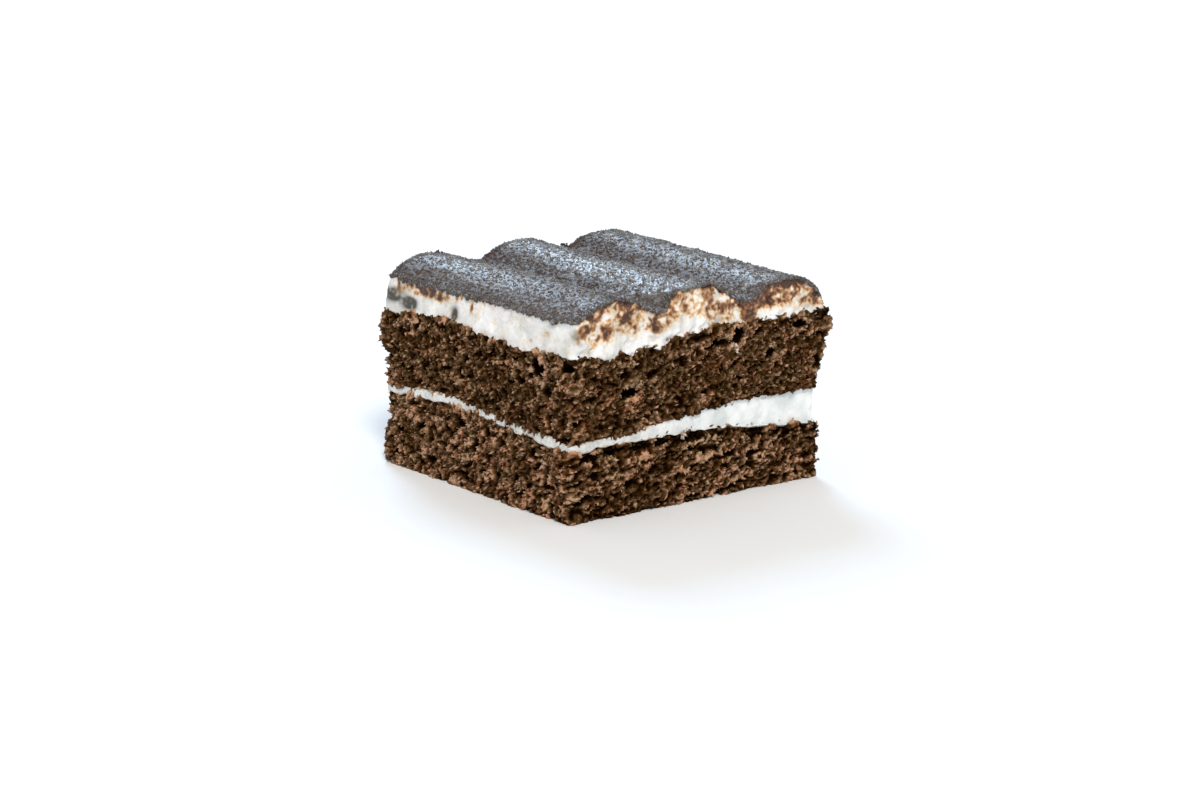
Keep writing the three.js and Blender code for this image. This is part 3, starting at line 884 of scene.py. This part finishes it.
def damp_cocoa():
    """Damp cocoa powder: dark grains, each of its own shade, that mirror the light where they have set.

    The grains are smoothed Voronoi cells about 1 mm across, coarser than real powder so that they show.
    The bloom and sheen attribute makes them glossier, and paler as painted sheen; "damp" makes them a
    plain brown, and "rim" a dark brown.
    """
    material, surface = new_material("damp_cocoa")
    place = add_node(material, "ShaderNodeTexCoord").outputs["Object"]
    bloom_and_sheen = add_node(material, "ShaderNodeAttribute", {"attribute_name": "bloom_and_sheen"})
    rim = add_node(material, "ShaderNodeAttribute", {"attribute_name": "rim"})
    damp = add_node(material, "ShaderNodeAttribute", {"attribute_name": "damp"})
    grain = add_node(material, "ShaderNodeTexVoronoi",
                     {"feature": "SMOOTH_F1", "Scale": 1 / (COCOA_GRAIN * MM), "Smoothness": 0.35},
                     {"Vector": place})
    level = add_node(material, "ShaderNodeMath", {"operation": "MULTIPLY_ADD", 1: 1.6},
                     {0: grain.outputs["Color"], 2: bloom_and_sheen.outputs["Fac"]})
    colour = add_node(material, "ShaderNodeValToRGB", {}, {"Fac": level.outputs["Value"]},
                      [(0.0, "#423730"), (0.4, "#564b43"), (0.68, "#685d55"), (0.88, "#78726d"),
                       (1.0, "#8a8886")])
    damped = add_node(material, "ShaderNodeMix", {"data_type": "RGBA", 7: linear("#5f5146")},
                      {0: damp.outputs["Fac"], 6: colour.outputs["Color"]})
    mixed = add_node(material, "ShaderNodeMix", {"data_type": "RGBA", 7: linear("#3a2114")},
                     {0: rim.outputs["Fac"], 6: damped.outputs[2]})
    bump = add_node(material, "ShaderNodeBump", {"Strength": 0.75, "Distance": 0.4 * MM, "invert": True},
                    {"Height": grain.outputs["Distance"]})
    gloss = add_node(material, "ShaderNodeMapRange",
                     {"From Min": -0.4, "From Max": 0.25, "To Min": 0.62, "To Max": 0.36},
                     {"Value": bloom_and_sheen.outputs["Fac"]})
    shader = add_node(material, "ShaderNodeBsdfPrincipled", {"Specular IOR Level": 1.0},
                      {"Base Color": mixed.outputs[2], "Roughness": gloss.outputs["Result"],
                       "Normal": bump.outputs["Normal"]})
    material.node_tree.links.new(shader.outputs["BSDF"], surface)
    return material


def dust_spread(share):
    """How far the cut edge of the cocoa bulges: half a sine wave up its height."""
    return DUST_BULGE * np.sin(np.pi * share)


dust_loop = edge_loop(DUST_STEP, DUST_CORNER)
dust_rows, dust_inset, dust_share = layer_rows(
    dust_loop, dust_edge, cocoa_top, DUST_UNDER_INSETS, DUST_ROWS, DUST_INSETS, dust_spread)
dust_relief = 0.14 * soft_noise(dust_rows * [0.6, 1, 1], 1.0, 500) + waves(dust_rows, DUST_LUMPS)
dust_points = pushed(dust_rows, dust_relief * (dust_share > 0.1))
dust_x, dust_y, dust_plan = dust_rows[..., 0], dust_rows[..., 1], dust_rows[..., :2]
phase = rope_phase(dust_x, dust_y)
rope = np.round(phase)
beside_crest = (phase - rope) * ROPE_PITCH
on_top = (dust_share > 0.99) & (dust_inset > 0.1)

# The left edge near the front, each rope's left slope, that slope's back end, and its foot further back
left_edge = np.exp(-(((dust_x + HALF_WIDTH) / 9) ** 2)) * (1 - smooth_step(-22, 12, dust_y))
left_slope = smooth_step(-6.0, -10.5, beside_crest)
back_slope = left_slope * smooth_step(20, 36, dust_y) * smooth_step(-20, -12, dust_x)
rope_foot = smooth_step(-7.0, -11.0, beside_crest) * smooth_step(-18, -6, dust_y)

# Bloom and painted sheen: a bell on each rope's left shoulder, where the cocoa is glossier and painted
# paler, with patches and streaks, and less on the feet
shoulder_sheen = np.exp(-(((beside_crest - SHEEN_SHIFT) / SHEEN_REACH) ** 2))
bloom_and_sheen = LEAST_BLOOM_AND_SHEEN + np.interp(rope, [-1, 0, 1], ROPE_BLOOM_AND_SHEEN) * shoulder_sheen + bells(dust_plan, BLOOM_AND_SHEEN_PATCHES)
bloom_and_sheen = bloom_and_sheen + 0.1 * soft_noise(dust_rows, 9, 520) + 0.14 * soft_noise(dust_rows * [1, 0.4, 1], 2.0, 523)
bloom_and_sheen = bloom_and_sheen - 0.25 * back_slope - 0.22 * rope_foot

# Damp cocoa lies along the left edge and the left slopes, broken up by noise
damp = 0.8 * left_edge + 0.6 * back_slope + 0.65 * left_slope
damp = on_top * damp * np.clip(0.8 + 0.9 * soft_noise(dust_rows, 2.4, 532), 0, 1)

# Brown runs round the cut edge, more at the rope ends and the back, and lies in spots on top
front_brown = 0.25 * np.exp(-(((dust_y + HALF_DEPTH) / 2.4) ** 2))
edge_brown = 0.25 + 0.65 * np.maximum(np.abs(dust_loop[1][:, 1]) ** 4, smooth_step(12, 30, dust_y))
near_edge = smooth_step(0.9, 0.0, dust_inset + 0.5 * soft_noise(dust_rows, 2, 526))
cut_edge = np.clip(0.75 + soft_noise(dust_rows, 1.3, 529), 0, 1)
top_brown = front_brown + 0.5 * back_slope + 0.25 * left_edge + 0.4 * rope_foot
top_brown = top_brown + bells(dust_plan, BROWN_SPOTS)
rim = np.maximum(edge_brown * np.where(on_top, 0.5 * near_edge, cut_edge), on_top * top_brown)

cocoa_material = damp_cocoa()
dusting = skin_piece("cocoa_skin", dust_points, {"bloom_and_sheen": bloom_and_sheen, "rim": rim, "damp": damp}, cocoa_material)
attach(dusting, "root")
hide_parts("cocoa_dusting")

# Cocoa clots
# Small clots of damp cocoa that stick up at the back ends of the ropes. Each is a heap of grains round
# a place given on the plan, with its height over the cocoa.
CLOTS = np.array([(15.0, 34.6, 0.9), (15.9, 34.4, 0.6), (-26.4, 34.0, 0.1)])
CLOT_GRAINS = 40
CLOT_SPREAD = 0.32
CLOT_SHAPE = [1.1, 1.0, 0.9]
CLOT_BLOOM = -0.7
dust_draw = np.random.default_rng(570)
clot_count = len(CLOTS) * CLOT_GRAINS
clot_place = np.column_stack([CLOTS[:, :2], cocoa_top(CLOTS[:, 0], CLOTS[:, 1]) + CLOTS[:, 2]])
clot_middle = np.repeat(clot_place, CLOT_GRAINS, axis=0)
clot_middle = clot_middle + dust_draw.normal(0, CLOT_SPREAD, (clot_count, 3))
clot_way = dust_draw.normal(size=(clot_count, 3))
clot_radius = dust_draw.uniform(0.2, 0.42, clot_count)
clot_values = {"bloom_and_sheen": np.full(clot_count, CLOT_BLOOM),
               "rim": dust_draw.uniform(0.5, 0.95, clot_count),
               "damp": np.zeros(clot_count)}
clots = grain_piece("cocoa_clots", clot_middle, clot_way, clot_radius, CLOT_SHAPE, clot_values,
                    cocoa_material, dust_draw)
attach(clots, "root")

# Cocoa grains
# Loose grains of cocoa that lie on the skin, closest together along its cut rim. They are drawn about
# as coarse as the grain of the skin, because real ones are too fine to show.
DUST_GRAINS = 17000
DUST_GRAIN_SHAPE = [1.3, 1.0, 0.8]
RIM_REACH = 0.6
RIM_CROWDING = 4
crowding = 1 - dust_inset / HALF_DEPTH + RIM_CROWDING * np.exp(-dust_inset / RIM_REACH)
dust_weight = np.where(dust_share > 0.1, crowding, 0) + 0 * bloom_and_sheen
dust_pick = dust_draw.choice(dust_weight.size, DUST_GRAINS, p=dust_weight.ravel() / dust_weight.sum())
at_rim = (dust_inset + 0 * bloom_and_sheen).ravel()[dust_pick] < 0.5
# Painted glints: grains at the rim vary two and a half times as much, so some of them are painted pale as
# glints
uneven_bloom_and_glints = dust_draw.normal(0.03, 0.16, DUST_GRAINS) * (1 + 1.5 * at_rim)
grain_values = {"bloom_and_sheen": bloom_and_sheen.ravel()[dust_pick] + uneven_bloom_and_glints,
                "rim": rim.ravel()[dust_pick] * dust_draw.uniform(0.2, 1.2, DUST_GRAINS),
                "damp": damp.ravel()[dust_pick]}
grain_way = dust_draw.normal(size=(DUST_GRAINS, 3))
grain_radius = dust_draw.uniform(0.18, 0.42, DUST_GRAINS)
dust_grains = grain_piece("cocoa_grains", dust_points.reshape(-1, 3)[dust_pick], grain_way, grain_radius,
                          DUST_GRAIN_SHAPE, grain_values, cocoa_material, dust_draw)
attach(dust_grains, "root")

# Table, light and camera
# A plain white table, a soft light from the front left, a cool one from above and behind that the
# damp cocoa mirrors, and a camera that looks down on the near corner.
TABLE_REACH = 6
KEY_LIGHT = dict(direction=(-0.52, -0.76, 0.85), spread=15, strength=2.0, hex_colour="#fffdf8")
SKY_LIGHT = dict(direction=(0.34, 0.73, 0.6), spread=22, strength=1.65, hex_colour="#c2e1ff")
LIGHT_DISTANCE = 1000
STUDIO_COLOUR = "#f2f3f5"
STUDIO_STRENGTH = 0.5
CAMERA_AZIMUTH = np.radians(-41.5)
CAMERA_ELEVATION = np.radians(13.4)
CAMERA_ROLL = np.radians(2.16)
CAMERA_DISTANCE = 639
CAMERA_AIM = np.array([-3.15, -2.51, 18.36])
CAMERA_LENS = 78
CAMERA_SENSOR = 36


def facing(back, roll):
    """Axes of a camera or light whose back points along a direction, turned about it by a roll."""
    back = back / np.linalg.norm(back)
    right = np.cross([0, 0, 1], back)
    right = right / np.linalg.norm(right)
    up = np.cross(back, right)
    turned = np.cos(roll) * right + np.sin(roll) * up
    return np.stack([turned, np.cross(back, turned), back], -1)


def place_facing(thing, target, direction, distance, roll=0.0):
    """Sets a thing at a distance in millimetres from a target, in a direction, looking back at it."""
    axes = facing(direction, roll)
    turn = np.eye(4)
    turn[:3, :3] = axes
    turn[:3, 3] = (target + [*PLAN_MIDDLE, 0] + axes[:, 2] * distance) * MM
    thing.matrix_world = Matrix(turn.tolist())
    bpy.context.scene.collection.objects.link(thing)


def soft_sun(name, direction, spread, strength, hex_colour):
    """A far light that fills a disc of the sky, of the given spread in degrees."""
    lamp = bpy.data.lights.new(name, "SUN")
    lamp.angle = np.radians(spread)
    lamp.energy = strength
    lamp.color = linear(hex_colour)[:3]
    place_facing(bpy.data.objects.new(name, lamp), CAMERA_AIM, np.array(direction), LIGHT_DISTANCE)


table_mesh = bpy.data.meshes.new("table")
table_corners = [(x * TABLE_REACH, y * TABLE_REACH, 0) for x, y in [(-1, -1), (1, -1), (1, 1), (-1, 1)]]
table_mesh.from_pydata(table_corners, [], [(0, 1, 2, 3)])
table_material, table_surface = new_material("pale_table")
table_shader = add_node(table_material, "ShaderNodeBsdfPrincipled",
                        {"Base Color": linear("#ffffff"), "Roughness": 0.8, "Specular IOR Level": 0.1})
table_material.node_tree.links.new(table_shader.outputs["BSDF"], table_surface)
table_mesh.materials.append(table_material)
table = bpy.data.objects.new("table", table_mesh)
bpy.context.scene.collection.objects.link(table)

soft_sun("key_light", **KEY_LIGHT)
soft_sun("sky_light", **SKY_LIGHT)
world = bpy.data.worlds.new("studio")
world.use_nodes = True
world.node_tree.nodes["Background"].inputs["Color"].default_value = linear(STUDIO_COLOUR)
world.node_tree.nodes["Background"].inputs["Strength"].default_value = STUDIO_STRENGTH
bpy.context.scene.world = world
bpy.context.scene.view_settings.view_transform = "Standard"

lens = bpy.data.cameras.new("camera")
lens.lens = CAMERA_LENS
lens.sensor_width = CAMERA_SENSOR
camera = bpy.data.objects.new("camera", lens)
look_back = np.array([np.sin(CAMERA_AZIMUTH) * np.cos(CAMERA_ELEVATION),
                      -np.cos(CAMERA_AZIMUTH) * np.cos(CAMERA_ELEVATION), np.sin(CAMERA_ELEVATION)])
place_facing(camera, CAMERA_AIM, look_back, CAMERA_DISTANCE, CAMERA_ROLL)
bpy.context.scene.camera = camera
